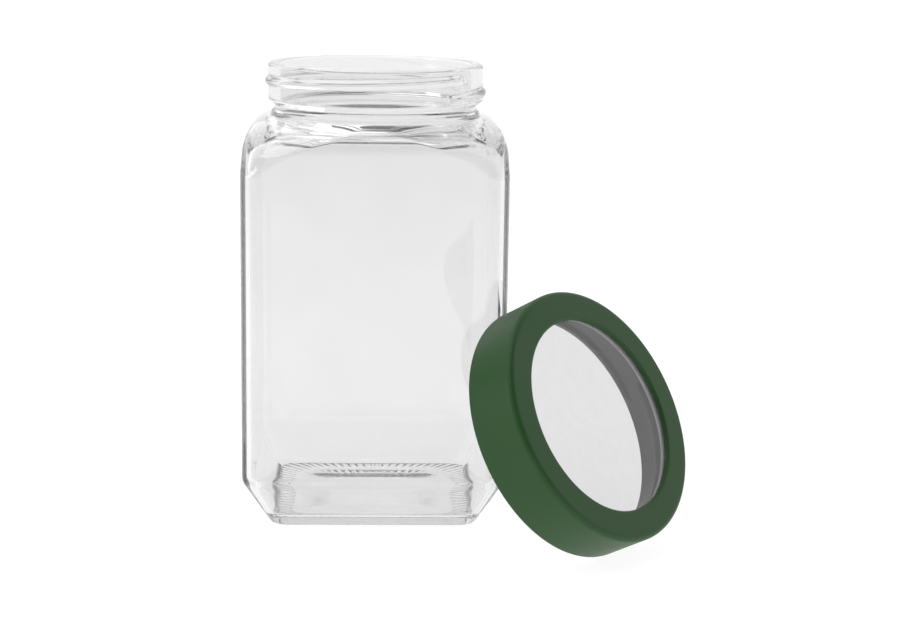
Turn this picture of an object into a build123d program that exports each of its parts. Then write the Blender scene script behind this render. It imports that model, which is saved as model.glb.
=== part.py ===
"""Square glass storage jar with a loose screw lid that leans against one corner.

Millimetres, +Z up.  The origin is the centre of the jar's base, on the table.
The jar stands square to X and Y; the lid stands on its open rim, tilted back,
and leans on the jar's front right corner (+X, -Y).
"""
import os
from math import cos, pi, radians, sin

from build123d import *

# Jar body
BODY_WIDTH = 117.0
BODY_CORNER = 10.0
FOOT_WIDTH = 92.6
FOOT_CORNER = 8.5
FOOT_EDGE = 1.2
BEVEL_HEIGHT = 21.5
BEVEL_BLEND = 9.0
WALL = 4.0
FLOOR = 4.5
FLOOR_WIDTH = 91.0
FLOOR_CORNER = 6.5
FLOOR_ROUND = 4.0
RECESS_WIDTH = 70.0
RECESS_CORNER = 12.0
RECESS_DEPTH = 1.0
RECESS_TOP_WIDTH = 35.0
RECESS_TOP_CORNER = 6.0

# Jar shoulder: square walls blend into the round neck
CORNER_GROWTH_START = 158.0
CORNER_GROWTH_POWER = 1.25
SHOULDER_START = 166.5
SHOULDER_TOP = 180.5
SHOULDER_SECTIONS = 7
SHOULDER_LEAD_IN = 4.0

# Neck and its single-start thread
JAR_HEIGHT = 204.0
NECK_RADIUS = 48.7
BORE_RADIUS = 43.4
WAIST_RADIUS = 45.9
LAND_BOTTOM = 187.5
WAIST_TOP = 185.2
WAIST_BOTTOM = 183.4
BEAD_RADIUS = 47.3
BEAD_TOP = 182.3
LIP_OUTER_ROUND = 1.6
LIP_INNER_ROUND = 1.2
THREAD_LEAD = 8.5
THREAD_TURN = 374.0
THREAD_START = -51.0
THREAD_LOW = 190.2
THREAD_HEIGHT = 1.35
THREAD_ROOT = 4.6
THREAD_CREST = 1.6
THREAD_EMBED = 1.0
THREAD_FADE = 12.0
THREAD_STEP = 11.0

# Lid, measured along its own axis from the open rim to the face
LID_RADIUS = 56.75
LID_HEIGHT = 24.6
SHEET = 0.6
FACE_EDGE = 2.4
WINDOW_OPENING = 43.2
HEM_ROUND = 1.4
CURL_RADIUS = 0.85
WINDOW_RADIUS = 50.5
WINDOW_THICKNESS = 1.8
PLATE_THICKNESS = 1.6
PLATE_OPENING = 44.6
SKIRT_RADIUS = 51.3
SKIRT_WALL = 1.6
CAP_FOOT = 1.2
SEAL_THICKNESS = 1.6
SEAL_GAP = 0.1
SEAL_CLEARANCE = 0.3
LUG_LOW = 3.2
LUG_TURN = 373.0
LUG_HEIGHT = 1.9
LUG_ROOT = 3.8
LUG_CREST = 1.6

# How the lid leans: its axis points up and towards the front right
LID_TILT = 28.94
LID_HEADING = -39.83
LID_REACH_X = 81.4
LID_REACH_Y = -67.5

HALF_BODY = BODY_WIDTH / 2
WALL_TOP = CORNER_GROWTH_START - 2 * SHOULDER_LEAD_IN
INNER_BEVEL = BEVEL_HEIGHT + WALL / 2
HEM_CENTRE = WINDOW_OPENING + HEM_ROUND
WINDOW_TOP = LID_HEIGHT - HEM_ROUND
PLATE_TOP = WINDOW_TOP - WINDOW_THICKNESS
PLATE_BOTTOM = PLATE_TOP - PLATE_THICKNESS
SEAL_TOP = PLATE_BOTTOM - SEAL_GAP
SHELL_INSIDE = LID_RADIUS - SHEET

LID_AXIS = Vector(
    cos(radians(LID_TILT)) * cos(radians(LID_HEADING)),
    cos(radians(LID_TILT)) * sin(radians(LID_HEADING)),
    sin(radians(LID_TILT)),
)
LID_SIDE = Vector(-sin(radians(LID_HEADING)), cos(radians(LID_HEADING)), 0)
# The curl of the open rim rests on the table at one point
LID_RIM_LEVEL = (
    (LID_RADIUS - CURL_RADIUS) * cos(radians(LID_TILT)) + CURL_RADIUS * (1 - sin(radians(LID_TILT)))
)
LID_CENTRE = Vector(LID_REACH_X, LID_REACH_Y, LID_RIM_LEVEL)
LID_PLANE = Plane(origin=LID_CENTRE, x_dir=LID_SIDE, z_dir=LID_AXIS)
# Half section of the lid: x is the radius and y the distance from the open rim
LID_SECTION = Plane(origin=LID_CENTRE, x_dir=LID_SIDE, z_dir=LID_SIDE.cross(LID_AXIS))
LID_TURN_AXIS = Axis(LID_CENTRE, LID_AXIS)


def shoulder_section(angle, inset):
    """Height, half width and corner radius of the jar at one step of the shoulder."""
    rise = SHOULDER_TOP - SHOULDER_START
    height = SHOULDER_START + rise * sin(angle)
    reach = HALF_BODY - (HALF_BODY - NECK_RADIUS) * (1 - cos(angle))
    growth = (height - CORNER_GROWTH_START) / (SHOULDER_TOP - CORNER_GROWTH_START)
    corner = BODY_CORNER + (NECK_RADIUS - BODY_CORNER) * growth**CORNER_GROWTH_POWER
    half = reach - inset
    return height - inset * sin(angle), half, min(corner - inset, half - 0.05)


def draw_square(plane, half, corner):
    """Rounded square sketch of a given half width, centred on the jar's axis."""
    with BuildSketch(plane) as outline:
        RectangleRounded(2 * half, 2 * half, corner)
    return outline.sketch


def draw_shoulder(inset):
    """Stack of sections from the straight walls up to the foot of the neck."""
    straight = [WALL_TOP, WALL_TOP + SHOULDER_LEAD_IN]
    sections = [draw_square(Plane.XY.offset(z), HALF_BODY - inset, BODY_CORNER - inset) for z in straight]
    for step in range(SHOULDER_SECTIONS):
        angle = step / (SHOULDER_SECTIONS - 1) * pi / 2
        height, half, corner = shoulder_section(angle, inset)
        sections.append(draw_square(Plane.XY.offset(height), half, corner))
    return sections


def ridge_sections(plane, radius, height, root, crest, low, turn, start, inward):
    """Trapezoid sections of a helical thread ridge that fades in and out at its ends."""
    count = round(turn / THREAD_STEP)
    side = -1 if inward else 1
    sections = []
    for step in range(count + 1):
        along = turn * step / count
        fade = sin(min(1.0, min(along, turn - along) / THREAD_FADE) * pi / 2)
        tall = height * (0.15 + 0.85 * fade)
        wide = crest / 2 * (0.4 + 0.6 * fade)
        base = root / 2 * (0.5 + 0.5 * fade)
        angle = radians(start + along)
        outward = plane.x_dir * cos(angle) + plane.y_dir * sin(angle)
        level = plane.origin + plane.z_dir * (low + THREAD_LEAD * along / 360)
        section_plane = Plane(origin=level, x_dir=outward, z_dir=outward.cross(plane.z_dir))
        with BuildSketch(section_plane) as section:
            with BuildLine():
                Polyline(
                    (radius - side * THREAD_EMBED, -base),
                    (radius + side * tall, -wide),
                    (radius + side * tall, wide),
                    (radius - side * THREAD_EMBED, base),
                    close=True,
                )
            make_face()
        sections.append(section.sketch)
    return sections


def edges_at_height(block, height):
    """Every edge of a part that lies level at one height."""
    return block.edges().filter_by_position(Axis.Z, height - 0.01, height + 0.01)


# The space inside the jar, from the floor to above the mouth
with BuildPart() as hollow:
    add(draw_square(Plane.XY.offset(FLOOR), FLOOR_WIDTH / 2, FLOOR_CORNER))
    add(draw_square(Plane.XY.offset(INNER_BEVEL), HALF_BODY - WALL, BODY_CORNER - WALL))
    loft(ruled=True)
    add(draw_square(Plane.XY.offset(INNER_BEVEL), HALF_BODY - WALL, BODY_CORNER - WALL))
    extrude(amount=WALL_TOP - INNER_BEVEL)
    fillet(edges_at_height(hollow, INNER_BEVEL), BEVEL_BLEND - WALL)
    fillet(hollow.edges().group_by(Axis.Z)[0], FLOOR_ROUND)
    add(draw_shoulder(WALL))
    loft()
    with BuildSketch(Plane.XY.offset(SHOULDER_TOP - 2 * WALL)):
        Circle(BORE_RADIUS)
    extrude(amount=JAR_HEIGHT - SHOULDER_TOP + 3 * WALL)

# Helical ridge that the lid screws onto
with BuildPart() as neck_thread:
    add(ridge_sections(
        Plane.XY, NECK_RADIUS, THREAD_HEIGHT, THREAD_ROOT, THREAD_CREST,
        THREAD_LOW, THREAD_TURN, THREAD_START, inward=False,
    ))
    loft()

# Jar: bevelled foot, square walls, rounded shoulder, threaded neck and open mouth
with BuildPart() as glass_jar:
    add(draw_square(Plane.XY, FOOT_WIDTH / 2, FOOT_CORNER))
    add(draw_square(Plane.XY.offset(BEVEL_HEIGHT), HALF_BODY, BODY_CORNER))
    loft(ruled=True)
    add(draw_square(Plane.XY.offset(BEVEL_HEIGHT), HALF_BODY, BODY_CORNER))
    extrude(amount=WALL_TOP - BEVEL_HEIGHT)
    fillet(edges_at_height(glass_jar, BEVEL_HEIGHT), BEVEL_BLEND)
    fillet(glass_jar.edges().group_by(Axis.Z)[0], FOOT_EDGE)
    add(draw_shoulder(0))
    loft()
    with BuildSketch(Plane.XZ):
        with BuildLine():
            Polyline(
                (0, SHOULDER_TOP - 1),
                (BEAD_RADIUS, SHOULDER_TOP - 1),
                (BEAD_RADIUS, BEAD_TOP),
                (WAIST_RADIUS, WAIST_BOTTOM),
                (WAIST_RADIUS, WAIST_TOP),
                (NECK_RADIUS, LAND_BOTTOM),
                (NECK_RADIUS, JAR_HEIGHT),
                (0, JAR_HEIGHT),
                close=True,
            )
        make_face()
    revolve(axis=Axis.Z)
    fillet(glass_jar.edges().group_by(Axis.Z)[-1], LIP_OUTER_ROUND)
    add(hollow.part, mode=Mode.SUBTRACT)
    fillet(glass_jar.edges().group_by(Axis.Z)[-1].sort_by(SortBy.LENGTH)[0], LIP_INNER_ROUND)
    add(neck_thread.part)
    # Shallow sloping recess under the base leaves a bearing ring round the edge
    with BuildSketch(Plane.XY):
        RectangleRounded(RECESS_WIDTH, RECESS_WIDTH, RECESS_CORNER)
    with BuildSketch(Plane.XY.offset(RECESS_DEPTH)):
        RectangleRounded(RECESS_TOP_WIDTH, RECESS_TOP_WIDTH, RECESS_TOP_CORNER)
    loft(ruled=True, mode=Mode.SUBTRACT)
glass_jar.part.label = "glass_jar"

# Lid shell: pressed sheet with a rounded face edge, a rolled hem round the window
# and a rolled curl round the open rim that holds the inner cap in
with BuildPart() as lid_shell:
    with BuildSketch(LID_SECTION):
        with BuildLine():
            Line((SHELL_INSIDE, CAP_FOOT), (SHELL_INSIDE, LID_HEIGHT - FACE_EDGE))
            RadiusArc(
                (SHELL_INSIDE, LID_HEIGHT - FACE_EDGE),
                (LID_RADIUS - FACE_EDGE, LID_HEIGHT - SHEET),
                -(FACE_EDGE - SHEET),
            )
            Line((LID_RADIUS - FACE_EDGE, LID_HEIGHT - SHEET), (HEM_CENTRE, LID_HEIGHT - SHEET))
            RadiusArc((HEM_CENTRE, LID_HEIGHT - SHEET), (WINDOW_OPENING + SHEET, WINDOW_TOP), -(HEM_ROUND - SHEET))
            Line((WINDOW_OPENING + SHEET, WINDOW_TOP), (WINDOW_OPENING, WINDOW_TOP))
            RadiusArc((WINDOW_OPENING, WINDOW_TOP), (HEM_CENTRE, LID_HEIGHT), HEM_ROUND)
            Line((HEM_CENTRE, LID_HEIGHT), (LID_RADIUS - FACE_EDGE, LID_HEIGHT))
            RadiusArc((LID_RADIUS - FACE_EDGE, LID_HEIGHT), (LID_RADIUS, LID_HEIGHT - FACE_EDGE), FACE_EDGE)
            Line((LID_RADIUS, LID_HEIGHT - FACE_EDGE), (LID_RADIUS, CURL_RADIUS))
            ThreePointArc(
                (LID_RADIUS, CURL_RADIUS),
                (LID_RADIUS - CURL_RADIUS, 0),
                (LID_RADIUS - 2 * CURL_RADIUS, CURL_RADIUS),
            )
            Line((LID_RADIUS - 2 * CURL_RADIUS, CURL_RADIUS), (LID_RADIUS - 2 * CURL_RADIUS, CAP_FOOT))
            Line((LID_RADIUS - 2 * CURL_RADIUS, CAP_FOOT), (SHELL_INSIDE, CAP_FOOT))
        make_face()
    revolve(axis=LID_TURN_AXIS)
lid_shell.part.label = "lid_shell"

# Clear disc clamped between the hem and the plate of the inner cap
with BuildPart() as lid_window:
    with BuildSketch(LID_PLANE.offset(PLATE_TOP)):
        Circle(WINDOW_RADIUS)
    extrude(amount=WINDOW_THICKNESS)
lid_window.part.label = "lid_window"

# Ridge inside the cap that runs under the ridge on the jar's neck
with BuildPart() as cap_thread:
    add(ridge_sections(
        LID_PLANE, SKIRT_RADIUS, LUG_HEIGHT, LUG_ROOT, LUG_CREST,
        LUG_LOW, LUG_TURN, 0, inward=True,
    ))
    loft()

# Inner cap: plate with a round opening, threaded skirt and a foot that sits on the curl
with BuildPart() as inner_cap:
    with BuildSketch(LID_SECTION):
        with BuildLine():
            Polyline(
                (PLATE_OPENING, PLATE_BOTTOM),
                (SKIRT_RADIUS, PLATE_BOTTOM),
                (SKIRT_RADIUS, CAP_FOOT),
                (SHELL_INSIDE, CAP_FOOT),
                (SHELL_INSIDE, CAP_FOOT + SKIRT_WALL),
                (SKIRT_RADIUS + SKIRT_WALL, CAP_FOOT + SKIRT_WALL),
                (SKIRT_RADIUS + SKIRT_WALL, PLATE_BOTTOM),
                (SHELL_INSIDE, PLATE_BOTTOM),
                (SHELL_INSIDE, PLATE_TOP),
                (PLATE_OPENING, PLATE_TOP),
                close=True,
            )
        make_face()
    revolve(axis=LID_TURN_AXIS)
    add(cap_thread.part)
inner_cap.part.label = "inner_cap"

# Loose flat washer that the jar's lip presses against the plate
with BuildPart() as seal_ring:
    with BuildSketch(LID_PLANE.offset(SEAL_TOP - SEAL_THICKNESS)):
        Circle(SKIRT_RADIUS - SEAL_CLEARANCE)
        Circle(PLATE_OPENING, mode=Mode.SUBTRACT)
    extrude(amount=SEAL_THICKNESS)
seal_ring.part.label = "seal_ring"

os.makedirs("parts", exist_ok=True)
for piece in (glass_jar, lid_shell, lid_window, inner_cap, seal_ring):
    export_step(piece.part, f"parts/{piece.part.label}.step")
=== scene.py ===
"""Square glass jar with a windowed screw lid: glass, paint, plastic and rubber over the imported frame."""
from math import cos, hypot, pi, radians, sin, tau

import bpy
from mathutils import Matrix, Vector


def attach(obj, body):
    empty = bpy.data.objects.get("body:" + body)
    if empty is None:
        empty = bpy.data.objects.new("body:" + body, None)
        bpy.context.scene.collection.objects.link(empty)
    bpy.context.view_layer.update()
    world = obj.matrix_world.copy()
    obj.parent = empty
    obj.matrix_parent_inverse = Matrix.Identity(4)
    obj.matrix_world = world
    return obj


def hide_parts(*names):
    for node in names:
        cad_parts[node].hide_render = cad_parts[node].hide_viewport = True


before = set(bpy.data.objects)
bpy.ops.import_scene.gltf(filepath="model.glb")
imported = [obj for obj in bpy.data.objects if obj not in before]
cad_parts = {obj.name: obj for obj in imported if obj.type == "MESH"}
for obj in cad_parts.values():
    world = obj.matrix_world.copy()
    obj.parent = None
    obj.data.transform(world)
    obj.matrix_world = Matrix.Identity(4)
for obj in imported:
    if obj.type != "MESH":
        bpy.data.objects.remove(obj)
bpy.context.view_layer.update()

MM = 0.001

# Jar body, in millimetres
HALF_BODY = 58.5
BODY_CORNER = 10.0
HALF_FOOT = 46.3
FOOT_CORNER = 8.5
FOOT_EDGE = 1.2
BEVEL_HEIGHT = 21.5
BEVEL_BLEND = 9.0
WALL = 4.0
FLOOR = 4.5
FLOOR_ROUND = 4.0
HALF_FLOOR = 45.5
FLOOR_CORNER = 6.5
INNER_BEVEL = 23.5
HALF_RECESS = 35.0
RECESS_CORNER = 12.0
RECESS_DEPTH = 1.0
KNURL_COUNT = 88
KNURL_DEPTH = 0.4
KNURL_INNER = 37.0
KNURL_FADE = 1.5
KNURL_PATH_HALF = 41.0
KNURL_PATH_CORNER = 9.0

# Shoulder
CORNER_GROWTH_START = 158.0
CORNER_GROWTH_POWER = 1.25
SHOULDER_START = 166.5
SHOULDER_TOP = 180.5
SHOULDER_STEPS = 30

# Neck and thread
JAR_HEIGHT = 204.0
NECK_RADIUS = 48.7
BORE_RADIUS = 43.4
WAIST_RADIUS = 45.9
BEAD_RADIUS = 47.3
BEAD_TOP = 182.3
WAIST_BOTTOM = 183.4
WAIST_TOP = 185.2
LAND_BOTTOM = 187.5
LAND_TOP = 203.0
THREAD_LEAD = 8.5
THREAD_TURN = 374.0
THREAD_START = -51.0
THREAD_LOW = 190.2
THREAD_HEIGHT = 1.35
THREAD_HALF = 2.1
THREAD_FADE = 7.0

# Lid, along its own axis from the open rim to the face
LID_RADIUS = 56.75
LID_HEIGHT = 24.6
SHEET = 0.6
FACE_EDGE = 2.4
WINDOW_OPENING = 43.2
HEM_ROUND = 1.4
CURL_RADIUS = 0.85
WINDOW_RADIUS = 50.5
WINDOW_THICKNESS = 1.8
PLATE_THICKNESS = 1.6
PLATE_OPENING = 44.6
SKIRT_RADIUS = 51.3
SKIRT_WALL = 1.6
CAP_FOOT = 1.2
SEAL_THICKNESS = 1.6
SEAL_RADIUS = 51.0
LUG_LOW = 3.2
LUG_TURN = 373.0
LUG_HEIGHT = 1.9
LUG_HALF = 1.8

WINDOW_TOP = LID_HEIGHT - HEM_ROUND
PLATE_TOP = WINDOW_TOP - WINDOW_THICKNESS
PLATE_BOTTOM = PLATE_TOP - PLATE_THICKNESS
SEAL_TOP = PLATE_BOTTOM - 0.1
SEAL_BOTTOM = SEAL_TOP - SEAL_THICKNESS
SHELL_INSIDE = LID_RADIUS - SHEET

# Camera: metres, degrees and millimetres of focal length
CAMERA_PLACE = Vector((-0.0015, -0.9033, 0.2700))
CAMERA_DOWN = 11.413
CAMERA_TURN = 2.328
CAMERA_ROLL = 0.848
CAMERA_LENS = 79.32

# Mesh density
SIDE_STEPS = 34
CORNER_STEPS = 24
LID_STEPS = 288
RECESS_STEPS = 24


def smoothstep(x):
    """Eases from 0 to 1."""
    x = min(1.0, max(0.0, x))
    return x * x * (3 - 2 * x)


def rounded_path(corners, spacing):
    """Dense points along a polyline whose corners, given as (x, y, radius), are rounded."""
    path = []
    last = len(corners) - 1
    for index, (x, y, radius) in enumerate(corners):
        if index in (0, last) or radius == 0:
            path.append((x, y))
            continue
        here = Vector((x, y))
        back = (Vector(corners[index - 1][:2]) - here).normalized()
        ahead = (Vector(corners[index + 1][:2]) - here).normalized()
        half_angle = back.angle(ahead) / 2
        centre = here + (back + ahead).normalized() * radius / sin(half_angle)
        first = here + back * radius * cos(half_angle) / sin(half_angle) - centre
        final = here + ahead * radius * cos(half_angle) / sin(half_angle) - centre
        turn = first.angle_signed(final)
        steps = max(4, round(abs(turn) / radians(9)))
        for step in range(steps + 1):
            angle = -turn * step / steps
            x_turned = first.x * cos(angle) - first.y * sin(angle)
            y_turned = first.x * sin(angle) + first.y * cos(angle)
            path.append((centre.x + x_turned, centre.y + y_turned))
    dense = [path[0]]
    for start, end in zip(path, path[1:]):
        length = hypot(end[0] - start[0], end[1] - start[1])
        pieces = max(1, round(length / spacing))
        for piece in range(1, pieces + 1):
            share = piece / pieces
            dense.append((start[0] + (end[0] - start[0]) * share, start[1] + (end[1] - start[1]) * share))
    return dense


def ridge_lift(angle, height, start, turn, low, half, tall):
    """How far a rounded helical ridge stands out at one angle and height."""
    lift = 0.0
    for lap in (-360, 0, 360, 720):
        along = angle - start + lap
        if along < 0 or along > turn:
            continue
        across = abs(height - low - THREAD_LEAD * along / 360) / half
        if across < 1:
            end = smoothstep(min(along, turn - along) / THREAD_FADE)
            lift = max(lift, tall * end * (1 - across**3) ** 1.4)
    return lift


def new_piece(name, points, faces, body, stands_for):
    """Smooth mesh from points in metres that rides on a body and stands for a frame node."""
    mesh = bpy.data.meshes.new(name)
    mesh.from_pydata(points, [], faces)
    mesh.polygons.foreach_set("use_smooth", [True] * len(mesh.polygons))
    piece = bpy.data.objects.new(name, mesh)
    bpy.context.scene.collection.objects.link(piece)
    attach(piece, body)
    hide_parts(stands_for)
    return piece


def band_faces(rings, count, closed):
    """Quads between neighbouring rings of points; closed joins the last ring to the first."""
    faces = []
    bands = rings if closed else rings - 1
    for ring in range(bands):
        low = ring * count
        high = (ring + 1) % rings * count
        for step in range(count):
            ahead = (step + 1) % count
            faces.append((low + step, low + ahead, high + ahead, high + step))
    return faces


# ---------------------------------------------------------------- jar

def jar_angles():
    """Directions round the jar, closer together at its vertical corners."""
    angles = []
    for quarter in range(4):
        for first, last, steps in ((0, 38.5, SIDE_STEPS), (38.5, 51.5, CORNER_STEPS), (51.5, 90, SIDE_STEPS)):
            for step in range(steps):
                angles.append(90 * quarter + first + (last - first) * step / steps)
    return angles


def square_radius(angle, half, corner):
    """Distance from the axis to a rounded square in one direction."""
    across = abs(cos(radians(angle)))
    along = abs(sin(radians(angle)))
    if along > across:
        across, along = along, across
    flat = half / across
    if flat * along <= half - corner:
        return flat
    centre = half - corner
    middle = centre * (across + along)
    return middle + max(0.0, middle * middle - 2 * centre * centre + corner * corner) ** 0.5


def shoulder_rows(inset):
    """Rows (half width, height, corner radius) from the straight wall to the foot of the neck."""
    rows = []
    for step in range(6):
        height = CORNER_GROWTH_START + (SHOULDER_START - CORNER_GROWTH_START) * step / 6
        rows.append((HALF_BODY - inset, height, grown_corner(height) - inset))
    for step in range(SHOULDER_STEPS + 1):
        angle = pi / 2 * step / SHOULDER_STEPS
        height = SHOULDER_START + (SHOULDER_TOP - SHOULDER_START) * sin(angle)
        reach = HALF_BODY - (HALF_BODY - NECK_RADIUS) * (1 - cos(angle))
        half = reach - inset
        rows.append((half, height - inset * sin(angle), min(grown_corner(height) - inset, half)))
    return rows


def grown_corner(height):
    """Corner radius of the jar, which grows to the neck's radius up the shoulder."""
    growth = (height - CORNER_GROWTH_START) / (SHOULDER_TOP - CORNER_GROWTH_START)
    return BODY_CORNER + (NECK_RADIUS - BODY_CORNER) * max(0.0, growth) ** CORNER_GROWTH_POWER


def knurl_phases(angles):
    """Phase of the knurled bearing ring in each direction, evenly spaced along the ring."""
    ring = []
    for angle in angles:
        radius = square_radius(angle, KNURL_PATH_HALF, KNURL_PATH_CORNER)
        ring.append((radius * cos(radians(angle)), radius * sin(radians(angle))))
    travel = [0.0]
    for here, ahead in zip(ring, ring[1:] + ring[:1]):
        travel.append(travel[-1] + hypot(ahead[0] - here[0], ahead[1] - here[1]))
    return [tau * KNURL_COUNT * distance / travel[-1] for distance in travel[:-1]]


def outside_rows():
    """Rows of the jar's outside, from the middle of its underside to the lip."""
    rows = []
    for step in range(1, RECESS_STEPS):
        half = HALF_RECESS * step / RECESS_STEPS
        slope = smoothstep(2 - 2 * half / HALF_RECESS)
        rows.append((half, RECESS_DEPTH * slope, RECESS_CORNER * half / HALF_RECESS))
    foot = rounded_path([
        (HALF_RECESS, 0, 0), (HALF_FOOT, 0, FOOT_EDGE),
        (HALF_BODY, BEVEL_HEIGHT, BEVEL_BLEND), (HALF_BODY, CORNER_GROWTH_START - 1, 0),
    ], 1.0)
    for half, height in foot:
        if half < HALF_RECESS:
            corner = RECESS_CORNER * half / HALF_RECESS
        elif half < HALF_FOOT and height < 1:
            share = (half - HALF_RECESS) / (HALF_FOOT - HALF_RECESS)
            corner = RECESS_CORNER + (FOOT_CORNER - RECESS_CORNER) * share
        else:
            share = (half - HALF_FOOT) / (HALF_BODY - HALF_FOOT)
            corner = FOOT_CORNER + (BODY_CORNER - FOOT_CORNER) * share
        rows.append((half, height, corner))
    rows += shoulder_rows(0)
    neck = rounded_path([
        (NECK_RADIUS, SHOULDER_TOP, 0), (BEAD_RADIUS, SHOULDER_TOP, 0.6), (BEAD_RADIUS, BEAD_TOP, 0.7),
        (WAIST_RADIUS, WAIST_BOTTOM, 0.6), (WAIST_RADIUS, WAIST_TOP, 0.9), (NECK_RADIUS, LAND_BOTTOM, 0.9),
        (NECK_RADIUS, JAR_HEIGHT, 1.6), (BORE_RADIUS, JAR_HEIGHT, 1.2), (BORE_RADIUS, 180, 0),
    ], 0.4)
    rows += [(radius, height, radius) for radius, height in neck[1:]]
    return rows


def inside_rows():
    """Rows of the jar's inside, from the foot of the bore down to the middle of the floor."""
    rows = []
    # The bore flares out into the underside of the shoulder
    for flare, height in ((0, 178.6), (0.15, 177.6), (0.6, 176.9), (1.2, 176.5)):
        rows.append((BORE_RADIUS + flare, height, BORE_RADIUS + flare))
    rows += shoulder_rows(WALL)[-2::-1]
    floor = rounded_path([
        (HALF_BODY - WALL, CORNER_GROWTH_START - 1, 0), (HALF_BODY - WALL, INNER_BEVEL, BEVEL_BLEND - WALL),
        (HALF_FLOOR, FLOOR, FLOOR_ROUND), (30, FLOOR, 0), (6, FLOOR, 0),
    ], 1.0)
    for half, height in floor:
        if half > HALF_FLOOR:
            share = (half - HALF_FLOOR) / (HALF_BODY - WALL - HALF_FLOOR)
            corner = FLOOR_CORNER + (BODY_CORNER - WALL - FLOOR_CORNER) * share
        else:
            corner = FLOOR_CORNER * half / HALF_FLOOR
        rows.append((half, height, corner))
    return rows


def make_jar():
    """Jar mesh: one closed skin of rings, from under the base over the lip to the floor."""
    angles = jar_angles()
    phases = knurl_phases(angles)
    outside = outside_rows()
    rows = outside + inside_rows()
    points = []
    for index, (half, height, corner) in enumerate(rows):
        on_land = index < len(outside) and LAND_BOTTOM < height < LAND_TOP and half > NECK_RADIUS - 0.3
        on_bearing = index < len(outside) and height < FOOT_EDGE and KNURL_INNER < half < HALF_FOOT
        for angle, phase in zip(angles, phases):
            radius = square_radius(angle, half, corner)
            lift = 0.0
            if on_land:
                radius += ridge_lift(
                    angle, height, THREAD_START, THREAD_TURN, THREAD_LOW, THREAD_HALF, THREAD_HEIGHT
                )
            if on_bearing:
                inward = smoothstep((half - KNURL_INNER) / KNURL_FADE) * smoothstep(HALF_FOOT - half)
                lift = KNURL_DEPTH * inward * (0.5 - 0.5 * cos(phase))
            points.append((
                radius * cos(radians(angle)) * MM,
                radius * sin(radians(angle)) * MM,
                (height + lift) * MM,
            ))
    count = len(angles)
    faces = band_faces(len(rows), count, closed=False)
    points += [(0, 0, RECESS_DEPTH * MM), (0, 0, FLOOR * MM)]
    base = len(rows) * count
    for step in range(count):
        ahead = (step + 1) % count
        faces.append((base, ahead, step))
        faces.append((base + 1, base - count + step, base - count + ahead))
    return new_piece("jar_glass", points, faces, "jar", "glass_jar")


# ---------------------------------------------------------------- lid

LID_TILT = radians(28.94)
LID_HEADING = radians(-39.83)
LID_AXIS = Vector((cos(LID_TILT) * cos(LID_HEADING), cos(LID_TILT) * sin(LID_HEADING), sin(LID_TILT)))
LID_SIDE = Vector((-sin(LID_HEADING), cos(LID_HEADING), 0))
LID_UP = LID_AXIS.cross(LID_SIDE)
LID_CENTRE = Vector((81.4, -67.5, 49.358))


def lid_point(radius, angle, along):
    """Point in metres at a radius, an angle and a distance along the lid's axis."""
    outward = LID_SIDE * cos(radians(angle)) + LID_UP * sin(radians(angle))
    return (LID_CENTRE + outward * radius + LID_AXIS * along) * MM


def lathe(name, section, body, stands_for, ridge=False):
    """Ring-shaped lid piece turned from a closed section of (radius, distance along the axis)."""
    points = []
    for radius, along in section:
        carries_ridge = ridge and abs(radius - SKIRT_RADIUS) < 0.01
        for step in range(LID_STEPS):
            angle = 360 * step / LID_STEPS
            lift = 0.0
            if carries_ridge:
                lift = ridge_lift(angle, along, 0, LUG_TURN, LUG_LOW, LUG_HALF, LUG_HEIGHT)
            points.append(lid_point(radius - lift, angle, along))
    faces = band_faces(len(section), LID_STEPS, closed=True)
    return new_piece(name, points, faces, body, stands_for)


def make_shell():
    """Pressed sheet shell: skirt, rounded face edge, hem round the window and curled rim."""
    curl_centre = LID_RADIUS - CURL_RADIUS
    hem_centre = WINDOW_OPENING + HEM_ROUND
    curl = []
    for step in range(13):
        angle = pi * step / 12
        curl.append((curl_centre - CURL_RADIUS * cos(angle), CURL_RADIUS - CURL_RADIUS * sin(angle), 0))
    hem_outer = []
    hem_inner = []
    for step in range(13):
        angle = pi / 2 * step / 12
        hem_outer.append((hem_centre - HEM_ROUND * sin(angle), WINDOW_TOP + HEM_ROUND * cos(angle), 0))
        bend = HEM_ROUND - SHEET
        hem_inner.append((hem_centre - bend * cos(angle), WINDOW_TOP + bend * sin(angle), 0))
    corners = [(curl_centre - CURL_RADIUS, CAP_FOOT, 0)]
    corners += curl
    corners += [(LID_RADIUS, 3, 0), (LID_RADIUS, LID_HEIGHT, FACE_EDGE)]
    corners += hem_outer
    corners += hem_inner
    corners += [(SHELL_INSIDE, LID_HEIGHT - SHEET, FACE_EDGE - SHEET), (SHELL_INSIDE, CAP_FOOT, 0)]
    return lathe("lid_paint", rounded_path(corners, 1.2), "lid", "lid_shell")


def make_cap():
    """Inner cap: plate with a round opening, skirt with its screw ridge, and a foot."""
    outer = SKIRT_RADIUS + SKIRT_WALL
    section = rounded_path([
        (48, PLATE_BOTTOM, 0), (SKIRT_RADIUS, PLATE_BOTTOM, 0.5), (SKIRT_RADIUS, CAP_FOOT, 0.4),
        (SHELL_INSIDE - 0.05, CAP_FOOT, 0.3), (SHELL_INSIDE - 0.05, CAP_FOOT + SKIRT_WALL, 0.3),
        (outer, CAP_FOOT + SKIRT_WALL, 0.4), (outer, PLATE_BOTTOM, 0.3),
        (SHELL_INSIDE - 0.05, PLATE_BOTTOM, 0.3), (SHELL_INSIDE - 0.05, PLATE_TOP, 0.3),
        (PLATE_OPENING, PLATE_TOP, 0.3), (PLATE_OPENING, PLATE_BOTTOM, 0.3),
        (47, PLATE_BOTTOM, 0),
    ], 0.35)
    return lathe("lid_inner_cap", section, "lid", "inner_cap", ridge=True)


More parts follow.
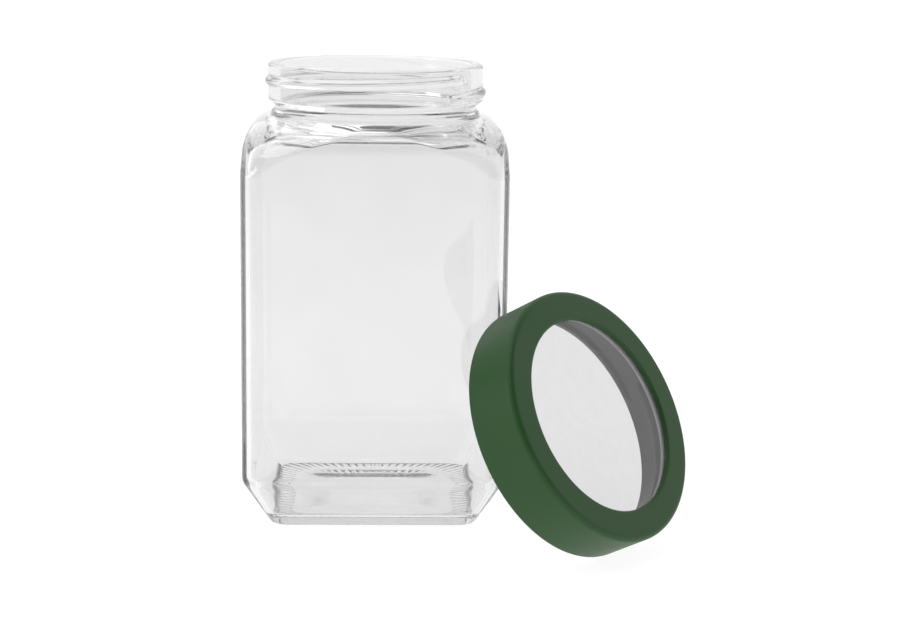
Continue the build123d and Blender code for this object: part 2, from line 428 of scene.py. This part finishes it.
def make_seal():
    """Flat washer with softly rounded edges."""
    section = rounded_path([
        (48, SEAL_BOTTOM, 0), (SEAL_RADIUS, SEAL_BOTTOM, 0.4), (SEAL_RADIUS, SEAL_TOP, 0.4),
        (PLATE_OPENING, SEAL_TOP, 0.4), (PLATE_OPENING, SEAL_BOTTOM, 0.4), (47, SEAL_BOTTOM, 0),
    ], 0.8)
    return lathe("lid_seal", section, "washer", "seal_ring")


def make_window():
    """Clear disc with a small rounded edge."""
    section = rounded_path([
        (6, PLATE_TOP, 0), (WINDOW_RADIUS, PLATE_TOP, 0.4),
        (WINDOW_RADIUS, WINDOW_TOP, 0.4), (6, WINDOW_TOP, 0),
    ], 4.0)
    points = []
    for radius, along in section:
        for step in range(LID_STEPS):
            points.append(lid_point(radius, 360 * step / LID_STEPS, along))
    faces = band_faces(len(section), LID_STEPS, closed=False)
    base = len(points)
    points += [lid_point(0, 0, PLATE_TOP), lid_point(0, 0, WINDOW_TOP)]
    for step in range(LID_STEPS):
        ahead = (step + 1) % LID_STEPS
        faces.append((base, ahead, step))
        faces.append((base + 1, base - LID_STEPS + step, base - LID_STEPS + ahead))
    return new_piece("lid_clear_disc", points, faces, "lid", "lid_window")


# ---------------------------------------------------------------- materials

def new_material(name):
    """Node material with its nodes, links and Principled shader."""
    material = bpy.data.materials.new(name)
    material.use_nodes = True
    nodes = material.node_tree.nodes
    return material, nodes, material.node_tree.links, nodes["Principled BSDF"]


def object_noise(nodes, links, scale, detail, stretch=(1, 1, 1)):
    """Noise in object space; scale is in features per metre."""
    place = nodes.new("ShaderNodeTexCoord")
    mapping = nodes.new("ShaderNodeMapping")
    mapping.inputs["Scale"].default_value = stretch
    links.new(place.outputs["Object"], mapping.inputs["Vector"])
    noise = nodes.new("ShaderNodeTexNoise")
    noise.inputs["Scale"].default_value = scale
    noise.inputs["Detail"].default_value = detail
    links.new(mapping.outputs["Vector"], noise.inputs["Vector"])
    return noise


def vary(nodes, links, noise, socket, low, high):
    """Drives a shader value from noise between two limits."""
    span = nodes.new("ShaderNodeMapRange")
    span.inputs["From Min"].default_value = 0.3
    span.inputs["From Max"].default_value = 0.7
    span.inputs["To Min"].default_value = low
    span.inputs["To Max"].default_value = high
    links.new(noise.outputs["Fac"], span.inputs["Value"])
    links.new(span.outputs["Result"], socket)


def tint(nodes, links, noise, socket, dark, light):
    """Drives a colour from noise between two close shades."""
    ramp = nodes.new("ShaderNodeValToRGB")
    ramp.color_ramp.elements[0].position = 0.3
    ramp.color_ramp.elements[0].color = (*dark, 1)
    ramp.color_ramp.elements[1].position = 0.7
    ramp.color_ramp.elements[1].color = (*light, 1)
    links.new(noise.outputs["Fac"], ramp.inputs["Fac"])
    links.new(ramp.outputs["Color"], socket)


def bump(nodes, links, noise, shader, distance, strength):
    """Surface relief of a real depth in metres."""
    relief = nodes.new("ShaderNodeBump")
    relief.inputs["Distance"].default_value = distance
    relief.inputs["Strength"].default_value = strength
    links.new(noise.outputs["Fac"], relief.inputs["Height"])
    links.new(relief.outputs["Normal"], shader.inputs["Normal"])


def glass_material():
    """Pressed glass: nearly clear, slow waves, darker where light travels far inside it; its grey see-through
    colour is painted shade.
    """
    material, nodes, links, shader = new_material("pressed_glass")
    shader.inputs["Transmission Weight"].default_value = 1.0
    shader.inputs["IOR"].default_value = 1.52
    waves = object_noise(nodes, links, 38, 2)
    # Painted shade: the grey see-through colour dims everything seen through the glass, as a shaded grey
    # ground behind the jar would; the small waver in it is random tone.
    tint(nodes, links, waves, shader.inputs["Base Color"], (0.86, 0.86, 0.86), (0.88, 0.88, 0.88))
    haze = object_noise(nodes, links, 160, 4)
    vary(nodes, links, haze, shader.inputs["Roughness"], 0.0, 0.004)
    bump(nodes, links, waves, shader, 0.0004, 0.02)
    absorb = nodes.new("ShaderNodeVolumeAbsorption")
    absorb.inputs["Color"].default_value = (0.32, 0.33, 0.33, 1)
    absorb.inputs["Density"].default_value = 5.5
    links.new(absorb.outputs["Volume"], nodes["Material Output"].inputs["Volume"])
    return material


def window_material():
    """Clear flat disc with the faintest haze; its grey see-through colour is painted shade."""
    material, nodes, links, shader = new_material("clear_disc")
    shader.inputs["Transmission Weight"].default_value = 1.0
    shader.inputs["IOR"].default_value = 1.49
    haze = object_noise(nodes, links, 220, 3)
    # Painted shade: the grey see-through colour dims everything seen through the disc, as the shaded ground
    # behind the window would; the small waver in it is random tone.
    tint(nodes, links, haze, shader.inputs["Base Color"], (0.67, 0.67, 0.67), (0.69, 0.69, 0.69))
    vary(nodes, links, haze, shader.inputs["Roughness"], 0.0, 0.006)
    bump(nodes, links, haze, shader, 0.0001, 0.015)
    return material


def paint_material():
    """Satin green paint with fine orange peel and slow changes of sheen."""
    material, nodes, links, shader = new_material("satin_green_paint")
    slow = object_noise(nodes, links, 45, 4)
    tint(nodes, links, slow, shader.inputs["Base Color"], (0.0135, 0.066, 0.0115), (0.0160, 0.075, 0.0135))
    vary(nodes, links, slow, shader.inputs["Roughness"], 0.42, 0.5)
    shader.inputs["Specular IOR Level"].default_value = 0.34
    peel = object_noise(nodes, links, 1400, 3)
    bump(nodes, links, peel, shader, 0.00012, 0.10)
    return material


def plastic_material():
    """Moulded grey plastic with a fine satin grain."""
    material, nodes, links, shader = new_material("moulded_grey_plastic")
    slow = object_noise(nodes, links, 60, 3)
    tint(nodes, links, slow, shader.inputs["Base Color"], (0.085, 0.085, 0.085), (0.11, 0.11, 0.11))
    vary(nodes, links, slow, shader.inputs["Roughness"], 0.35, 0.45)
    grain = object_noise(nodes, links, 2200, 2)
    bump(nodes, links, grain, shader, 0.0001, 0.12)
    return material


def rubber_material():
    """Soft pale washer with a matte, faintly uneven surface."""
    material, nodes, links, shader = new_material("pale_rubber")
    slow = object_noise(nodes, links, 90, 4)
    tint(nodes, links, slow, shader.inputs["Base Color"], (0.55, 0.55, 0.55), (0.63, 0.63, 0.63))
    vary(nodes, links, slow, shader.inputs["Roughness"], 0.6, 0.75)
    grain = object_noise(nodes, links, 1600, 3)
    bump(nodes, links, grain, shader, 0.00015, 0.2)
    return material


# ---------------------------------------------------------------- studio

def make_floor():
    """Plain pale floor that glows a little, so the object casts almost no shadow."""
    size = 6.0
    level = -0.00005
    mesh = bpy.data.meshes.new("floor")
    corners = [(-size, -size, level), (size, -size, level), (size, size, level), (-size, size, level)]
    mesh.from_pydata(corners, [], [(0, 1, 2, 3)])
    floor = bpy.data.objects.new("floor", mesh)
    bpy.context.scene.collection.objects.link(floor)
    material, nodes, links, shader = new_material("pale_floor")
    shader.inputs["Base Color"].default_value = (0.25, 0.25, 0.25, 1)
    shader.inputs["Roughness"].default_value = 1.0
    shader.inputs["Specular IOR Level"].default_value = 0.0
    shader.inputs["Emission Color"].default_value = (1, 1, 1, 1)
    shader.inputs["Emission Strength"].default_value = 0.92
    mesh.materials.append(material)


def make_world():
    """Bright all round the horizon and behind the object, dimmer high up at the sides and in front."""
    world = bpy.data.worlds.new("studio")
    bpy.context.scene.world = world
    world.use_nodes = True
    nodes = world.node_tree.nodes
    links = world.node_tree.links
    background = nodes["Background"]
    place = nodes.new("ShaderNodeTexCoord")
    facing = nodes.new("ShaderNodeVectorMath")
    facing.operation = "DOT_PRODUCT"
    facing.inputs[1].default_value = (0.26, 0.96, 0.0)
    links.new(place.outputs["Generated"], facing.inputs[0])
    span = nodes.new("ShaderNodeMapRange")
    span.interpolation_type = "SMOOTHSTEP"
    span.inputs["From Min"].default_value = -0.15
    span.inputs["From Max"].default_value = 0.55
    span.inputs["To Min"].default_value = 0.15
    span.inputs["To Max"].default_value = 1.0
    links.new(facing.outputs["Value"], span.inputs["Value"])
    split = nodes.new("ShaderNodeSeparateXYZ")
    links.new(place.outputs["Generated"], split.inputs["Vector"])
    horizon = nodes.new("ShaderNodeMapRange")
    horizon.interpolation_type = "SMOOTHSTEP"
    horizon.inputs["From Min"].default_value = 0.12
    horizon.inputs["From Max"].default_value = 0.32
    horizon.inputs["To Min"].default_value = 1.0
    horizon.inputs["To Max"].default_value = 0.0
    links.new(split.outputs["Z"], horizon.inputs["Value"])
    brighter = nodes.new("ShaderNodeMath")
    brighter.operation = "MAXIMUM"
    links.new(span.outputs["Result"], brighter.inputs[0])
    links.new(horizon.outputs["Result"], brighter.inputs[1])
    seen = nodes.new("ShaderNodeLightPath")
    pick = nodes.new("ShaderNodeMix")
    links.new(seen.outputs["Is Camera Ray"], pick.inputs["Factor"])
    links.new(brighter.outputs["Value"], pick.inputs["A"])
    pick.inputs["B"].default_value = 1.1
    links.new(pick.outputs["Result"], background.inputs["Strength"])
    background.inputs["Color"].default_value = (1, 1, 1, 1)


def add_softbox(name, place, aim, size, power):
    """Square area light pointed at a spot near the object."""
    light = bpy.data.lights.new(name, "AREA")
    light.size = size
    light.energy = power
    lamp = bpy.data.objects.new(name, light)
    bpy.context.scene.collection.objects.link(lamp)
    lamp.location = place
    lamp.rotation_euler = (Vector(aim) - Vector(place)).to_track_quat("-Z", "Y").to_euler()
    lamp.visible_camera = False


def make_camera():
    """Camera in front of the jar, a little above it and looking slightly down."""
    down = radians(CAMERA_DOWN)
    turn = radians(CAMERA_TURN)
    roll = radians(CAMERA_ROLL)
    forward = Vector((sin(turn) * cos(down), cos(turn) * cos(down), -sin(down)))
    right = Vector((cos(turn), -sin(turn), 0))
    up = right.cross(forward)
    camera_x = right * cos(roll) + up * sin(roll)
    camera_y = up * cos(roll) - right * sin(roll)
    data = bpy.data.cameras.new("camera")
    data.sensor_width = 36.0
    data.lens = CAMERA_LENS
    data.clip_start = 0.05
    data.clip_end = 30.0
    camera = bpy.data.objects.new("camera", data)
    bpy.context.scene.collection.objects.link(camera)
    rotation = Matrix((camera_x, camera_y, -forward)).transposed()
    camera.matrix_world = Matrix.Translation(CAMERA_PLACE) @ rotation.to_4x4()
    bpy.context.scene.camera = camera


make_camera()
make_world()
make_floor()
add_softbox("top_softbox", (-0.35, -0.2, 1.1), (0.05, -0.03, 0.1), 0.9, 4.0)
add_softbox("left_softbox", (-0.45, 0.45, 0.65), (0.06, -0.06, 0.08), 0.9, 1.6)
add_softbox("edge_softbox", (-0.75, -0.2, 0.45), (0.08, -0.07, 0.06), 0.3, 1.2)

jar = make_jar()
jar.data.materials.append(glass_material())
shell = make_shell()
shell.data.materials.append(paint_material())
cap = make_cap()
cap.data.materials.append(plastic_material())
seal = make_seal()
seal.data.materials.append(rubber_material())
window = make_window()
window.data.materials.append(window_material())

bpy.context.scene.view_settings.view_transform = "Standard"
# Light bounces many times inside the glass walls before it leaves them
bpy.context.scene.cycles.max_bounces = 32
bpy.context.scene.cycles.glossy_bounces = 32
bpy.context.scene.cycles.transmission_bounces = 32
